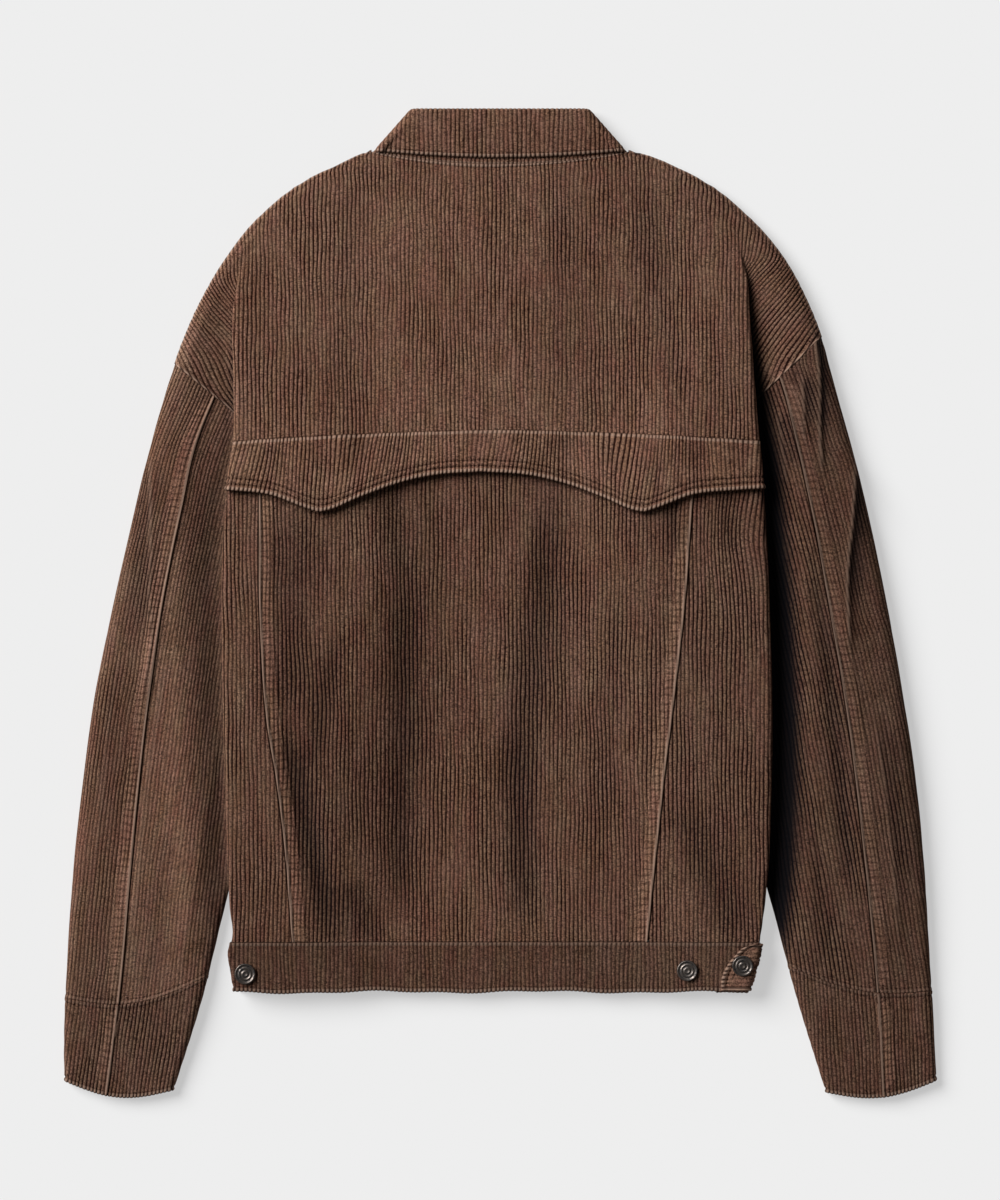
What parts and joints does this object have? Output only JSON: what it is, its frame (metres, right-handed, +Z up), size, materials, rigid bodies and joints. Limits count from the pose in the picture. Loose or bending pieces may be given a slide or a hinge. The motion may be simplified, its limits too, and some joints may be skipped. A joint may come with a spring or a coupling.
{
  "type": "corduroy jacket laid flat",
  "caption": "Wide-wale corduroy trucker jacket laid flat on its front, back up, with folded collar, W-edged back yoke flap, panelled back, cuffs and buttoned waistband.",
  "frame": {"origin": "middle of the jacket's outline, on the surface that it lies on", "axes": "+Z up, off the surface and out of the jacket's back; +Y along the back towards the collar; +X towards the jacket's own right sleeve"},
  "size_m": [0.6968, 0.7906, 0.0256],
  "materials": {
    "corduroy": "brown cotton corduroy with wales 3.3 mm apart and a soft pile that shines at the edges",
    "dark_brass": "antiqued, dark rim round a brassy middle"
  },
  "bodies": {
    "root": {"back_yoke": "corduroy", "back_flap": "corduroy", "back_center": "corduroy", "back_side_left": "corduroy", "back_side_right": "corduroy", "front_left": "corduroy", "front_right": "corduroy", "collar": "corduroy", "collar_stand": "corduroy", "sleeve_top_left": "corduroy", "sleeve_top_right": "corduroy", "sleeve_under_left": "corduroy", "sleeve_under_right": "corduroy", "cuff_left": "corduroy", "cuff_right": "corduroy", "waistband_back": "corduroy", "waistband_front_left": "corduroy", "waistband_front_right": "corduroy", "waist_tab_left": "corduroy", "waist_tab_right": "corduroy", "waist_button_1": "dark_brass", "waist_button_2": "dark_brass", "waist_button_3": "dark_brass", "waist_button_4": "dark_brass", "front_button_1": "dark_brass", "front_button_2": "dark_brass", "front_button_3": "dark_brass", "front_button_4": "dark_brass", "front_button_5": "dark_brass", "front_button_6": "dark_brass"}
  },
  "joints": []
}
